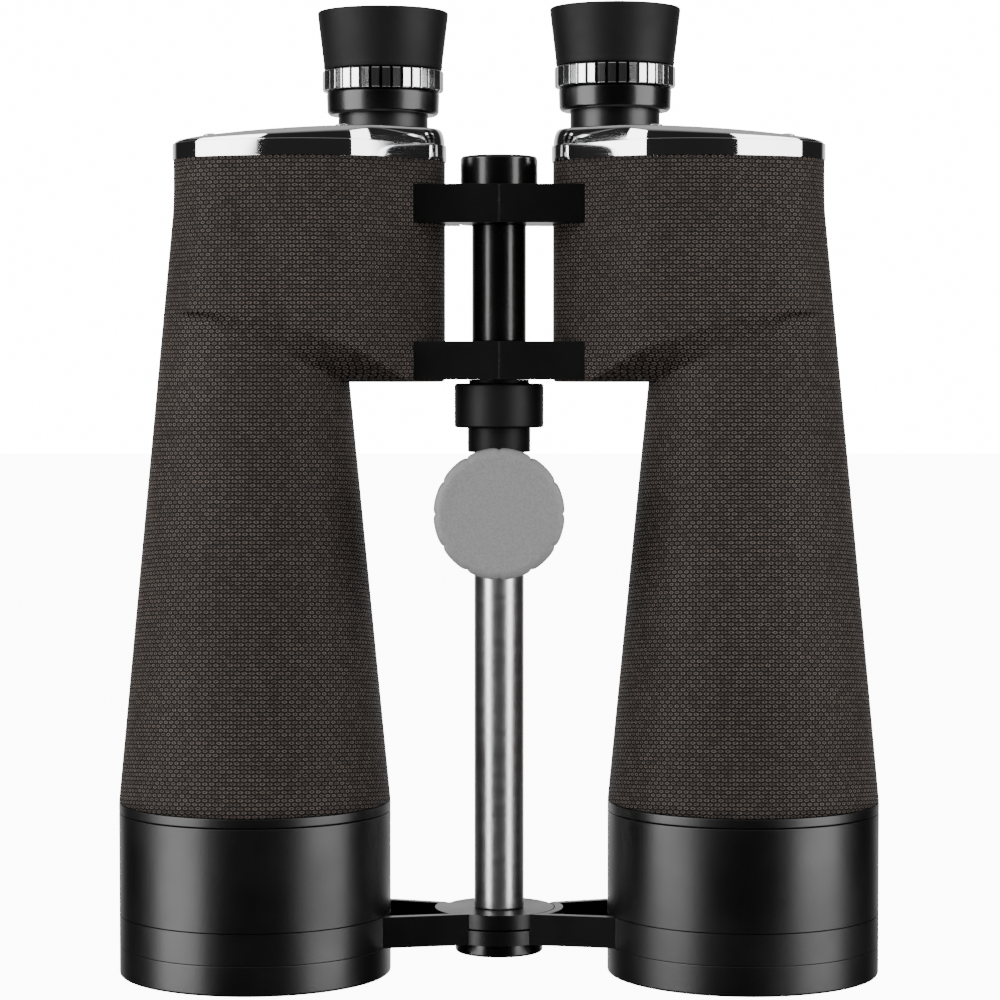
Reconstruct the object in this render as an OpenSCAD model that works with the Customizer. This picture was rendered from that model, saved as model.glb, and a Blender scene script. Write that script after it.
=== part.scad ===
// Giant porro-prism binoculars with a centre column and a sliding tripod clamp.
// The glass stands on its two objective rims: +Z up, +Y away from the clamp
// knob, origin on the standing plane midway between the objective axes.

/* [Overall] */
// Distance between the two objective axes
objective_span = 158.6; // [150:1:200]
// Distance between the two eyepiece axes, fully open
eyepiece_span = 75.2; // [70:0.2:78]
// How far the hinge axis lies behind the objective axes
hinge_y = 7; // [4:0.5:10]
// Height of the deck that the cover plates close
deck_z = 262.7; // [230:1:315]

/* [Prism housing] */
// Height of the underside of the prism housings
housing_z = 192.5; // [175:1:215]
// Radius of the round end over the objective
lobe_r = 25.4; // [24:0.2:27]
// Radius of the gently curved front
front_r = 41; // [38:0.5:44]
// Radius of the front corner
corner_r = 18; // [16:0.5:20]
// How far the curved front's centre lies from the objective axis, towards the hinge
front_shift_x = 17.8; // [16:0.1:19]
// How far the curved front's centre lies behind the point where the prisms meet
front_room = 27.85; // [27:0.05:29]
// Width of the ledge round the eyepiece neck
eye_ledge = 5.6; // [5.2:0.1:6.5]
// Thickness of the grained covering
cover_t = 0.8; // [0.5:0.1:1.2]
// Wall of the castings
wall = 2.2; // [1.6:0.1:2.6]
// Slope of the chamfer under the front of the housing, in degrees
chamfer_slope = 39; // [30:1:45]
// Turn of the chamfer's lower edge from the width of the glass, in degrees
chamfer_turn = 12.8; // [8:0.1:16]
// How far the chamfer's lower edge lies in front of the hinge axis
chamfer_front = 21; // [18:0.5:24]
// Thickness of the housing's floor
floor_t = 3; // [2:0.1:4]

/* [Prisms] */
// How far the prism shelf lies below the deck
shelf_drop = 33.2; // [31:0.1:36]
// Thickness of the prism shelf
shelf_t = 2.6; // [2:0.1:3]
// Radius that each prism's long face leaves clear round an axis
prism_face_r = 13.5; // [12:0.1:14]
// Width of the prisms
prism_w = 25; // [22:0.5:26]
// Thickness of the sprung prism straps
clip_t = 0.8; // [0.6:0.1:1]
// Width of the sprung prism straps
clip_w = 8; // [6:0.5:10]
// Radius of the light holes in the prism shelf
light_r = 11; // [10:0.1:12]

/* [Objective end] */
// Outer radius of the objective barrel
barrel_r = 44; // [42:0.5:53]
// Wall of the objective barrel
barrel_wall = 3; // [2.6:0.1:3.4]
// Height of the barrel's top ring and of the covering's lower edge
barrel_top_z = 55.9; // [50:0.5:62]
// Height of the thin ring on top of the barrel
tube_ring_h = 3.2; // [2:0.1:4]
// Height of the front ring the glass stands on
front_ring_h = 9.7; // [8:0.1:12]
// Height of the brace ring and of the brace arms
brace_h = 10; // [8:0.1:12]
// Wall of the objective cell
cell_wall = 1.5; // [1.2:0.1:2]
// Thickness of the objective lens at its middle
objective_t = 15; // [12:0.5:18]
// Radius of the objective's outer surfaces
objective_curve = 220; // [200:10:300]

/* [Cover plate and eyepiece] */
// Height of the bright band round the cover plate
band_h = 5.3; // [4:0.1:6]
// Height of the cover plate at the eyepiece
plate_h = 10.9; // [9:0.1:12]
// Outer radius of the eyepiece neck
neck_r = 14.5; // [13.5:0.1:17.5]
// Wall of the eyepiece neck
neck_wall = 1.9; // [1.6:0.1:2.4]
// Gap between the deck and the focusing ring at the zero mark
focus_gap = 15.1; // [14.5:0.1:17]
// Height of the black focusing ring
focus_ring_h = 7.5; // [6:0.1:9]
// Radius of the black focusing ring
focus_ring_r = 18.3; // [17.5:0.1:19]
// Height of the fluted grip ring
grip_h = 6.9; // [6:0.1:8]
// Outer radius of the fluted grip ring
grip_r = 19.6; // [19:0.1:21]
// Number of flats round the grip ring
grip_flats = 36; // [24:1:44]
// Height of the rubber eyecup
eyecup_h = 19; // [16:0.5:22]
// Outer radius of the eyecup at its foot
eyecup_foot_r = 19.2; // [18.5:0.1:20]
// Outer radius of the eyecup at its lip
eyecup_lip_r = 21.2; // [20:0.1:23]
// How far the right eyepiece is screwed out
right_focus = 1.4; // [0:0.1:3]

/* [Centre column] */
// Radius of the steel column
rod_r = 8.1; // [7:0.1:9.8]
// Radius of the hinge axle and of the column's reduced end
axle_r = 6; // [5:0.1:6.5]
// Radius of the tube between the hinge lugs
hinge_tube_r = 8.8; // [8:0.1:9.5]
// Radius of the round hinge cap
cap_r = 12.5; // [11.5:0.1:13.5]
// Height of the round hinge cap
cap_h = 9.7; // [7:0.1:12]
// Height of each pair of hinge lugs
lug_h = 12.3; // [10:0.1:14]
// Height of the upper lugs' top face above the housing's underside
upper_lug_top = 62.4; // [55:0.1:66]
// Radius of the knuckle inside the lugs
knuckle_r = 12.5; // [11.5:0.1:13]
// Distance from the hinge axis to the flat front of the lugs
lug_front = 18; // [16.5:0.1:19]
// Radius of the collar under the hinge
collar_r = 14.5; // [13:0.1:16]
// Height of the collar under the hinge
collar_h = 14.3; // [12:0.1:17]
// Radius of the sleeve under the collar
sleeve_r = 10.2; // [9.6:0.1:11]
// Length of the sleeve under the collar
sleeve_h = 8; // [4:0.5:9]
// Radius of the hub where the brace arms meet
hub_r = 18; // [16:0.5:20]
// Radius of the nut under the hub
hub_nut_r = 14.3; // [13:0.1:16]
// Height of the nut under the hub
hub_nut_h = 4.3; // [3:0.1:5]

/* [Tripod clamp] */
// Height of the clamp knob's axis
clamp_z = 150.2; // [140:0.5:152]
// Radius of the clamp knob
knob_r = 20.8; // [19:0.1:23]
// Thickness of the clamp knob
knob_t = 9; // [7:0.1:11]
// Number of shallow lobes round the clamp knob
knob_lobes = 12; // [8:1:16]
// Distance from the hinge axis to the face of the knob
knob_reach = 38; // [36:0.5:42]
// Half width of the clamp block
block_w2 = 15; // [14:0.5:17]
// Height of the clamp block
block_h = 27; // [24:0.5:30]
// Radius of the split bush on the column
bush_r = 10.4; // [9.6:0.1:11]
// Radius of the clamp screw
screw_r = 3; // [2.5:0.1:3.5]
// Radius of the quarter-inch tripod thread
thread_r = 3.175; // [3.175:0.001:3.175]
// Depth of the tripod thread
thread_depth = 12; // [9:0.5:14]
// Radius of the tripod post
post_r = 10; // [8:0.5:12]
// Distance from the hinge axis to the end of the tripod post
post_reach = 36; // [32:0.5:37]

/* [Fits] */
// Radial gap of a running fit
running_gap = 0.05; // [0.02:0.01:0.1]
// Radial gap of a push fit
push_gap = 0.02; // [0.01:0.01:0.04]
// Gap between parts stacked on the hinge axis
stack_gap = 0.1; // [0.05:0.01:0.2]
// Gap between faces that pass each other
face_gap = 0.3; // [0.2:0.05:0.5]

/* [Hidden] */
$fn = 96;

eps = 0.01;
small = 1;

// Plan of the left housing: a rounded shape whose outline runs round four discs.
// Angles are those of the outward normal, from straight to the front (-Y), positive
// towards the hinge (+X).
lobe = [-objective_span / 2, 0];
eye = [-eyepiece_span / 2, hinge_y];
eye_end_r = neck_r + eye_ledge;
// The prisms meet over a point at equal distance from both axes
turn_point = (lobe + eye) / 2 + [eye[1] - lobe[1], lobe[0] - eye[0]] / 2;
front_c = [lobe[0] + front_shift_x, turn_point[1] + front_room];
corner_angle = 20;
corner_c = front_c + (front_r - corner_r) * normal(corner_angle);

function normal(angle) = [sin(angle), -cos(angle)];
function on_disc(centre, r, angle) = centre + r * normal(angle);
// Angle of the normal of the line that touches two discs, on the front or at the back
function tangent(c1, r1, c2, r2, front) =
  let (d = c1 - c2, turn = asin((r2 - r1) / norm(d)), base = atan2(d[1], d[0]))
  front ? base + 180 - turn : base + turn;

a_front = tangent(lobe, lobe_r, front_c, front_r, true);
a_slant = tangent(corner_c, corner_r, eye, eye_end_r, true);
a_back = tangent(lobe, lobe_r, eye, eye_end_r, false);

// Points along a disc's rim, one every arc_step degrees or closer
arc_step = 6;
function arc(centre, r, from, to) =
  let (steps = ceil((to - from) / arc_step))
  [for (i = [0:steps]) on_disc(centre, r, from + (to - from) * i / steps)];

module outline(inset) {
  polygon(concat(
    arc(lobe, lobe_r - inset, a_back, a_front),
    arc(front_c, front_r - inset, a_front, corner_angle),
    arc(corner_c, corner_r - inset, corner_angle + arc_step, a_slant),
    arc(eye, eye_end_r - inset, a_slant, a_back + 360)));
}

// Objective cone: barrel radius at the ring, lobe radius near the deck
cone_top_z = deck_z - 13.2;
cone_slope = (barrel_r - lobe_r) / (cone_top_z - barrel_top_z);
function cone_r(z) = barrel_r - (z - barrel_top_z) * cone_slope;

module cone(inset, z0, z1) {
  translate([lobe[0], lobe[1], z0])
    cylinder(r1 = cone_r(z0) - inset, r2 = cone_r(z1) - inset, h = z1 - z0);
}

// The chamfer under the front: a block turned about a line on the underside, which
// crosses below the hinge side of the eyepiece
chamfer_line = [eye[0] + 5.2, hinge_y - chamfer_front];
module under_chamfer(inset) {
  big = objective_span;
  translate([chamfer_line[0], chamfer_line[1], housing_z])
    rotate([0, 0, -chamfer_turn])
      rotate([-chamfer_slope, 0, 0])
        translate([-big, -big, -big + inset])
          cube([2 * big, big + inset, big]);
}

// Outer shape of a housing with its cone, shrunk by inset. The cone ends a little
// below the height at which it would vanish into the lobe.
cone_end_z = cone_top_z - 4;
module housing_shape(inset, cone_z, floor_z, top_z) {
  difference() {
    translate([0, 0, floor_z]) linear_extrude(top_z - floor_z) outline(inset);
    under_chamfer(inset);
  }
  cone(inset, cone_z, cone_end_z);
}

// Lugs that carry the hinge: a full-height front, and a knuckle of half the height
washer_t = 0.5;
lug_gap = face_gap / 2;
lug_depth = 10;
lug_bite = 18.5;
lug_root = eyepiece_span / 2 - eye_end_r + lug_bite;
lug_below = 0.1;
lug_z = [housing_z - lug_below, housing_z + upper_lug_top - lug_h];

module lug(z, high) {
  half = lug_h / 2;
  translate([0, hinge_y, z]) {
    difference() {
      linear_extrude(lug_h) difference() {
        translate([-lug_root, -lug_front]) square([lug_root - lug_gap, lug_front + lug_depth]);
        translate([-knuckle_r - face_gap, 0]) square([knuckle_r + face_gap, lug_depth + small]);
      }
      translate([0, 0, -small]) cylinder(r = knuckle_r + face_gap, h = lug_h + 2 * small);
    }
    translate([0, 0, high ? half + washer_t / 2 : 0]) difference() {
      union() {
        cylinder(r = knuckle_r, h = half - washer_t / 2);
        translate([-knuckle_r - small, -knuckle_r + small, 0])
          cube([knuckle_r + small, 2 * (knuckle_r - 2 * small), half - washer_t / 2]);
      }
      translate([0, 0, -small]) cylinder(r = axle_r + running_gap, h = lug_h);
    }
  }
}

// Spots of the plate screws, on the outline moved in by screw_inset
screw_inset = 5.6;
screw_spots = [
  on_disc(lobe, lobe_r - screw_inset, -38), on_disc(lobe, lobe_r - screw_inset, -105),
  on_disc(lobe, lobe_r - screw_inset, a_back - 3), on_disc(corner_c, corner_r - screw_inset, 21)];
plate_screw_r = 1.25;
plate_screw_head_r = 2.4;
screw_seat = 3;
screw_boss = 2;
boss_depth = 12;
screw_depth = 7;
screw_play = 0.2;
slot_w = 0.6;
slot_depth = 0.7;

// The prisms' long faces
prism_leg = norm(turn_point - lobe);
shelf_z = deck_z - shelf_drop;
shelf_gap = 0.1;
prism_gap = 0.05;
strap_gap = 0.2;
// Half length of a prism's long face, and the height of its ground-off roof
prism_long = prism_leg / 2 + prism_face_r;
prism_roof = 2 * prism_face_r;
tube_spigot_r = lobe_r + 1;
spigot_wall = 1.6;
// Cut for the tube's spigot: through the floor and the foot of the chamfer above it
seat_cut = cover_t + floor_t + 6;

module side(right) {
  if (right) mirror([1, 0, 0]) children();
  else children();
}

// --- castings and covering ---------------------------------------------------

module covering() {
  color([0.24, 0.22, 0.2]) difference() {
    housing_shape(0, barrel_top_z, housing_z, deck_z);
    housing_shape(cover_t, barrel_top_z - small, housing_z + cover_t, deck_z + small);
    for (z = lug_z)
      translate([-lug_root, hinge_y - lug_front - eps, z - 0.2])
        cube([lug_root, lug_front + lug_depth + 2 * eps, lug_h + 0.2]);
  }
}

module prism_housing(high) {
  color([0.1, 0.1, 0.1]) difference() {
    union() {
      housing_shape(cover_t, housing_z + cover_t, housing_z + cover_t, deck_z);
      for (z = lug_z) lug(z, high);
    }
    housing_cavity(0);
    translate([lobe[0], lobe[1], housing_z]) cylinder(r = tube_spigot_r, h = seat_cut);
    for (spot = screw_spots)
      translate([spot[0], spot[1], deck_z - screw_depth - small])
        cylinder(r = plate_screw_r, h = screw_depth + 2 * small);
  }
}

// The inside of the housing, with a boss left standing round each plate screw
module housing_cavity(inset) {
  difference() {
    housing_shape(cover_t + wall + inset, housing_z + cover_t + floor_t + inset,
      housing_z + cover_t + floor_t + inset, deck_z + small);
    for (spot = screw_spots)
      translate([spot[0], spot[1], deck_z - boss_depth])
        cylinder(r = plate_screw_r + screw_boss + inset, h = boss_depth + 2 * small);
  }
}

// The tube has a spigot at each end: one in the housing's floor, one in the barrel
barrel_spigot_h = 8;
tube_lip = 4;
tube_neck = 6;
module objective_tube() {
  spigot_z = barrel_top_z - tube_ring_h - barrel_spigot_h;
  color([0.12, 0.12, 0.12]) difference() {
    union() {
      cone(cover_t, barrel_top_z, housing_z + cover_t);
      translate([lobe[0], lobe[1], housing_z + cover_t - small])
        cylinder(r = tube_spigot_r, h = floor_t + small);
      translate([lobe[0], lobe[1], spigot_z]) cylinder(r = bore_r, h = barrel_top_z - spigot_z + eps);
    }
    cone(cover_t + wall, barrel_top_z + tube_lip, housing_z - tube_neck);
    translate([lobe[0], lobe[1], spigot_z - small])
      cylinder(r = bore_r - wall, h = barrel_top_z - spigot_z + tube_lip + 2 * small);
    translate([lobe[0], lobe[1], housing_z - tube_neck - small])
      cylinder(r = tube_spigot_r - spigot_wall, h = tube_neck + cover_t + floor_t + 2 * small);
  }
}

// --- objective end ------------------------------------------------------------

module ring(z, h, r_out, r_in) {
  translate([lobe[0], lobe[1], z]) difference() {
    cylinder(r = r_out, h = h);
    translate([0, 0, -small]) cylinder(r = r_in, h = h + 2 * small);
  }
}

brace_ring_t = 1.8;
brace_seat_r = barrel_r - brace_ring_t;
bore_r = barrel_r - barrel_wall;
cell_z = 12;
cell_h = 24;
cell_in_r = bore_r - cell_wall - running_gap;

module tube_ring() {
  color([0.05, 0.05, 0.05])
    ring(barrel_top_z - tube_ring_h, tube_ring_h, barrel_r, bore_r);
}

module objective_barrel() {
  top = barrel_top_z - tube_ring_h;
  color([0.07, 0.07, 0.07]) {
    ring(front_ring_h + brace_h, top - front_ring_h - brace_h, barrel_r, bore_r);
    ring(front_ring_h, brace_h + eps, brace_seat_r, bore_r);
  }
}

front_edge = 2;
front_lip = 2.6;
module front_ring() {
  color([0.06, 0.06, 0.06]) translate([lobe[0], lobe[1], 0]) difference() {
    cylinder(r = barrel_r, h = front_ring_h);
    translate([0, 0, -eps])
      cylinder(r1 = barrel_r - front_edge, r2 = bore_r - front_lip, h = front_ring_h + 2 * eps);
  }
}

cell_lip = 2.5;
cell_rim = 2;
module objective_cell() {
  color([0.05, 0.05, 0.05]) translate([lobe[0], lobe[1], 0]) difference() {
    translate([0, 0, cell_z]) cylinder(r = bore_r - running_gap, h = cell_h);
    translate([0, 0, cell_z - small]) cylinder(r = cell_in_r, h = cell_h - cell_rim + small);
    translate([0, 0, cell_z]) cylinder(r = cell_in_r - cell_lip, h = cell_h + small);
  }
}

// A solid of revolution between two spherical faces of one radius
module lens(r, t, curve) {
  rotate_extrude() intersection() {
    square([r, t]);
    translate([0, curve]) circle(r = curve, $fn = 1440);
    translate([0, t - curve]) circle(r = curve, $fn = 1440);
  }
}

// Cemented pair, one convex lens on the outside
retainer_h = 4;
objective_z = cell_z + retainer_h + 1;
module objective_lens() {
  color([0.25, 0.4, 0.5, 0.5]) translate([lobe[0], lobe[1], objective_z])
    lens(cell_in_r - running_gap, objective_t, objective_curve);
}

module lens_retainer() {
  color([0.04, 0.04, 0.04])
    ring(cell_z, retainer_h, cell_in_r - running_gap, cell_in_r - cell_rim);
}

// Plan of a brace arm about the hinge axis, from inside the barrel's ring to the hub. It
// is wider at the barrel than at the hub.
arm_bite = 10;
arm_front = [22.6, 15];
arm_back = [18, 9];
arm_floor = 3;
arm_rim = 3;
module arm_outline(inset) {
  out = barrel_r - objective_span / 2 - arm_bite;
  translate([0, hinge_y]) polygon([
    [out, -arm_front[0] + inset], [-hub_r / 2, -arm_front[1] + inset], [-hub_r / 2, 0],
    [-hub_r, arm_back[1] - inset], [out, arm_back[0] - inset]]);
}

// Each arm carries half the height of the hub and makes room for the other half
module brace_arm(high) {
  half = brace_h / 2 - washer_t / 2;
  color([0.08, 0.08, 0.08]) translate([0, 0, front_ring_h]) difference() {
    union() {
      difference() {
        linear_extrude(brace_h) arm_outline(0);
        translate([0, 0, arm_floor]) linear_extrude(brace_h) difference() {
          arm_outline(arm_rim);
          translate([0, hinge_y]) circle(r = hub_r + arm_rim);
        }
        translate([0, hinge_y, high ? -small : half])
          cylinder(r = hub_r + face_gap, h = brace_h - half + small);
      }
      translate([0, hinge_y, high ? brace_h - half : 0]) cylinder(r = hub_r, h = half);
      translate([lobe[0], lobe[1], 0]) cylinder(r = barrel_r, h = brace_h);
    }
    translate([lobe[0], lobe[1], -small])
      cylinder(r = brace_seat_r + push_gap, h = brace_h + 2 * small);
    translate([0, hinge_y, -small])
      cylinder(r = axle_r + running_gap, h = brace_h + 2 * small);
  }
}

// --- prisms -------------------------------------------------------------------

module prism_shelf() {
  color([0.6, 0.6, 0.6]) translate([0, 0, shelf_z - shelf_t]) difference() {
    linear_extrude(shelf_t) outline(cover_t + wall + shelf_gap);
    for (p = [lobe, turn_point, eye])
      translate([p[0], p[1], -small]) cylinder(r = light_r, h = shelf_t + 2 * small);
  }
}

// A right-angle prism between two axes, its long face at z, its roof up or down
module prism(from, to, z, up) {
  intersection() {
    over_axes(from, to, z, up) rotate([90, 0, 0]) translate([0, 0, -prism_w / 2])
      linear_extrude(prism_w) polygon([
        [-prism_long, 0], [prism_long, 0],
        [prism_long - prism_roof, prism_roof], [prism_roof - prism_long, prism_roof]]);
    housing_cavity(face_gap);
  }
}

// Places something midway between two axes, along the line that joins them
module over_axes(from, to, z, up) {
  mid = (from + to) / 2;
  translate([mid[0], mid[1], z]) rotate([0, 0, atan2(to[1] - from[1], to[0] - from[0])])
    mirror([0, 0, up ? 0 : 1]) children();
}

module upper_prism() { color([0.6, 0.7, 0.8, 0.5]) prism(lobe, turn_point, shelf_z + prism_gap, true); }
module lower_prism() {
  color([0.6, 0.7, 0.8, 0.5]) prism(turn_point, eye, shelf_z - shelf_t - prism_gap, false);
}

// Sprung strap over each roof, hooked down to the shelf
module clip(from, to, z, up) {
  foot = prism_w / 2 + strap_gap;
  roof = prism_roof + strap_gap;
  over_axes(from, to, z, up) translate([-clip_w / 2, 0, 0]) difference() {
    translate([0, -foot - clip_t, 0]) cube([clip_w, 2 * (foot + clip_t), roof + clip_t]);
    translate([-small, -foot, -small]) cube([clip_w + 2 * small, 2 * foot, roof + small]);
  }
}

module prism_clips() {
  color([0.7, 0.7, 0.72]) {
    clip(lobe, turn_point, shelf_z, true);
    clip(turn_point, eye, shelf_z - shelf_t, false);
  }
}

// --- cover plate and eyepiece ---------------------------------------------------

dome_foot_r = objective_span / 2 - 1.3;
dome_flat_r = eye_end_r - small / 10;
plate_proud = 0.4;
plate_shoulder = 2.6;
// Height of the plate's dome above the deck, at a spot of its plan
function dome_h(spot) = band_h + (plate_h - band_h)
  * min(1, (dome_foot_r - norm(spot - eye)) / (dome_foot_r - dome_flat_r));
module cover_plate() {
  color([0.85, 0.85, 0.87]) difference() {
    union() {
      translate([0, 0, deck_z]) linear_extrude(band_h) outline(-plate_proud);
      intersection() {
        translate([0, 0, deck_z]) linear_extrude(plate_h + small) outline(plate_shoulder);
        translate([eye[0], eye[1], deck_z]) {
          cylinder(r = objective_span, h = band_h);
          translate([0, 0, band_h - eps])
            cylinder(r1 = dome_foot_r, r2 = dome_flat_r, h = plate_h - band_h + eps);
        }
      }
    }
    translate([eye[0], eye[1], deck_z - small]) cylinder(r = neck_r + push_gap, h = 2 * plate_h);
    for (spot = screw_spots) translate([spot[0], spot[1], 0]) {
      translate([0, 0, deck_z - small]) cylinder(r = plate_screw_r + screw_play, h = 2 * plate_h);
      translate([0, 0, deck_z + screw_seat])
        cylinder(r = plate_screw_head_r + screw_play, h = 2 * plate_h);
    }
  }
}

module plate_screws() {
  color([0.8, 0.8, 0.8]) for (spot = screw_spots) translate([spot[0], spot[1], deck_z]) difference() {
    union() {
      translate([0, 0, -screw_depth]) cylinder(r = plate_screw_r, h = screw_depth + screw_seat + eps);
      translate([0, 0, screw_seat]) cylinder(r = plate_screw_head_r, h = dome_h(spot) - screw_seat);
    }
    translate([-plate_screw_head_r - small, -slot_w / 2, dome_h(spot) - slot_depth])
      cube([2 * (plate_screw_head_r + small), slot_w, slot_depth + small]);
  }
}

focus_z = deck_z + focus_gap;
cup_seat = 5;
neck_top_z = focus_z + focus_ring_h + grip_h - cup_seat;
cell_r = neck_r - neck_wall - running_gap;
module at_eye() { translate([eye[0], eye[1], 0]) children(); }

flange_h = 3;
flange_gap = 0.4;
module eyepiece_neck() {
  start = deck_z - flange_h;
  color([0.05, 0.05, 0.05]) at_eye() difference() {
    union() {
      translate([0, 0, start]) cylinder(r = neck_r, h = neck_top_z - start);
      translate([0, 0, start]) cylinder(r = eye_end_r - cover_t - wall - flange_gap, h = flange_h);
    }
    translate([0, 0, start - small])
      cylinder(r = neck_r - neck_wall, h = neck_top_z - start + 2 * small);
  }
}

focus_taper = 0.3;
module focus_ring() {
  color([0.03, 0.03, 0.03]) at_eye() difference() {
    translate([0, 0, focus_z])
      cylinder(r1 = focus_ring_r - focus_taper, r2 = focus_ring_r, h = focus_ring_h);
    translate([0, 0, focus_z - small]) cylinder(r = neck_r + running_gap, h = focus_ring_h + 2 * small);
  }
}

groove = 0.6;
module grip_ring() {
  z = focus_z + focus_ring_h;
  color([0.8, 0.8, 0.82]) at_eye() difference() {
    translate([0, 0, z]) cylinder(r = grip_r, h = grip_h);
    translate([0, 0, z - small]) cylinder(r = neck_r + running_gap, h = grip_h + 2 * small);
    for (i = [0:grip_flats - 1]) rotate([0, 0, i * 360 / grip_flats])
      translate([grip_r - groove, -groove / 2, z - small]) cube([2, groove, grip_h + 2 * small]);
  }
}

cup_wall = 1.7;
cup_foot_h = 3;
module eyecup() {
  z = focus_z + focus_ring_h + grip_h;
  color([0.05, 0.05, 0.05]) at_eye() translate([0, 0, z]) difference() {
    cylinder(r1 = eyecup_foot_r, r2 = eyecup_lip_r, h = eyecup_h);
    translate([0, 0, cup_foot_h])
      cylinder(r1 = eyecup_foot_r - cup_wall - 1, r2 = eyecup_lip_r - cup_wall, h = eyecup_h);
    translate([0, 0, -small]) cylinder(r = cell_r + running_gap, h = eyecup_h);
  }
}

lens_cell_z = deck_z + 4;
lens_cell_top = focus_z + focus_ring_h + grip_h + cup_foot_h + 3;
lens_r = cell_r - 1.4;
field_seat = 7;
eye_seat = 9;
cell_stop = 1.5;
module lens_cell() {
  color([0.06, 0.06, 0.06]) at_eye() difference() {
    translate([0, 0, lens_cell_z]) cylinder(r = cell_r, h = lens_cell_top - lens_cell_z);
    translate([0, 0, lens_cell_z - small]) cylinder(r = lens_r, h = field_seat + small);
    translate([0, 0, lens_cell_z]) cylinder(r = lens_r - cell_stop, h = lens_cell_top - lens_cell_z);
    translate([0, 0, lens_cell_top - eye_seat]) cylinder(r = lens_r, h = eye_seat + small);
  }
}

module small_lens(z, t, curve) {
  color([0.3, 0.4, 0.6, 0.5]) at_eye() translate([0, 0, z]) lens(lens_r - push_gap, t, curve);
}

module field_lens() { small_lens(lens_cell_z + 1, 6, 45); }
module eye_lens() { small_lens(lens_cell_top - eye_seat + stack_gap, 7.5, 32); }

// --- centre column --------------------------------------------------------------

module at_hinge(z) { translate([0, hinge_y, z]) children(); }
function lug_top(i) = lug_z[i] + lug_h;
rod_top_z = housing_z - collar_h + 2;
axle_below = 4;
axle_in_cap = 6;
hub_top_z = front_ring_h + brace_h;

module hinge_axle() {
  color([0.6, 0.6, 0.62]) at_hinge(rod_top_z)
    cylinder(r = axle_r, h = lug_top(1) + axle_in_cap - rod_top_z);
}

module hinge_tube() {
  color([0.04, 0.04, 0.04]) at_hinge(lug_top(0) + stack_gap) difference() {
    cylinder(r = hinge_tube_r, h = lug_z[1] - lug_top(0) - 2 * stack_gap);
    translate([0, 0, -small])
      cylinder(r = axle_r + push_gap, h = lug_z[1] - lug_top(0) + 2 * small);
  }
}

cap_edge = 1;
module hinge_cap() {
  color([0.03, 0.03, 0.03]) at_hinge(lug_top(1) + stack_gap) difference() {
    union() {
      cylinder(r = cap_r, h = cap_h - cap_edge);
      translate([0, 0, cap_h - cap_edge - eps])
        cylinder(r1 = cap_r, r2 = cap_r - cap_edge, h = cap_edge + eps);
    }
    translate([0, 0, -small]) cylinder(r = axle_r + push_gap, h = axle_in_cap + small);
  }
}

module hinge_washers() {
  middles = [lug_z[0] + lug_h / 2, lug_z[1] + lug_h / 2, front_ring_h + brace_h / 2];
  color([0.75, 0.65, 0.35]) for (z = middles)
    at_hinge(z - (washer_t - stack_gap) / 2) difference() {
      cylinder(r = knuckle_r - small, h = washer_t - stack_gap);
      translate([0, 0, -small]) cylinder(r = axle_r + push_gap, h = 2 * small + washer_t);
    }
}

socket_step = 0.4;
socket_step_h = 1.2;
module rod_socket() {
  top = lug_z[0] - stack_gap;
  collar_z = top - socket_step_h - collar_h;
  color([0.25, 0.25, 0.25]) difference() {
    union() {
      at_hinge(collar_z + collar_h) cylinder(r = sleeve_r - socket_step, h = socket_step_h);
      at_hinge(collar_z) cylinder(r = collar_r, h = collar_h);
      at_hinge(collar_z - sleeve_h) cylinder(r = sleeve_r, h = sleeve_h + eps);
    }
    at_hinge(0) cylinder(r = rod_r + push_gap, h = rod_top_z);
    at_hinge(rod_top_z - small) cylinder(r = axle_r + push_gap, h = 2 * collar_h);
  }
}

module center_rod() {
  color([0.75, 0.75, 0.75]) {
    at_hinge(hub_top_z + stack_gap) cylinder(r = rod_r, h = rod_top_z - hub_top_z - stack_gap);
    at_hinge(front_ring_h - axle_below)
      cylinder(r = axle_r, h = brace_h + axle_below + 2 * stack_gap);
  }
}

nut_edge = 0.6;
module hub_nut() {
  z = front_ring_h - stack_gap - hub_nut_h;
  color([0.03, 0.03, 0.03]) at_hinge(z) difference() {
    union() {
      translate([0, 0, nut_edge]) cylinder(r = hub_nut_r, h = hub_nut_h - nut_edge);
      cylinder(r1 = hub_nut_r - nut_edge, r2 = hub_nut_r, h = nut_edge + eps);
    }
    translate([0, 0, front_ring_h - axle_below - z - eps])
      cylinder(r = axle_r + push_gap, h = hub_nut_h + small);
  }
}

// --- tripod clamp -----------------------------------------------------------------

module at_clamp() { translate([0, hinge_y, clamp_z]) children(); }
module along_y(y, r, h, r2 = 0) {
  translate([0, y, 0]) rotate([-90, 0, 0]) cylinder(r1 = r, r2 = r2 > 0 ? r2 : r, h = h);
}

bush_h = block_h + 2;
bush_rim = [1.4, 0.8];
bush_split = 1;
module adapter_bush() {
  color([0.3, 0.3, 0.3]) at_clamp() translate([0, 0, -bush_h / 2]) difference() {
    union() {
      cylinder(r = bush_r, h = bush_h);
      cylinder(r = bush_r + bush_rim[0], h = bush_rim[1]);
    }
    translate([0, 0, -small]) cylinder(r = rod_r + running_gap, h = bush_h + 2 * small);
    translate([rod_r - small, -bush_split / 2, -small])
      cube([bush_r, bush_split, bush_h + 2 * small]);
  }
}

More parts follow.
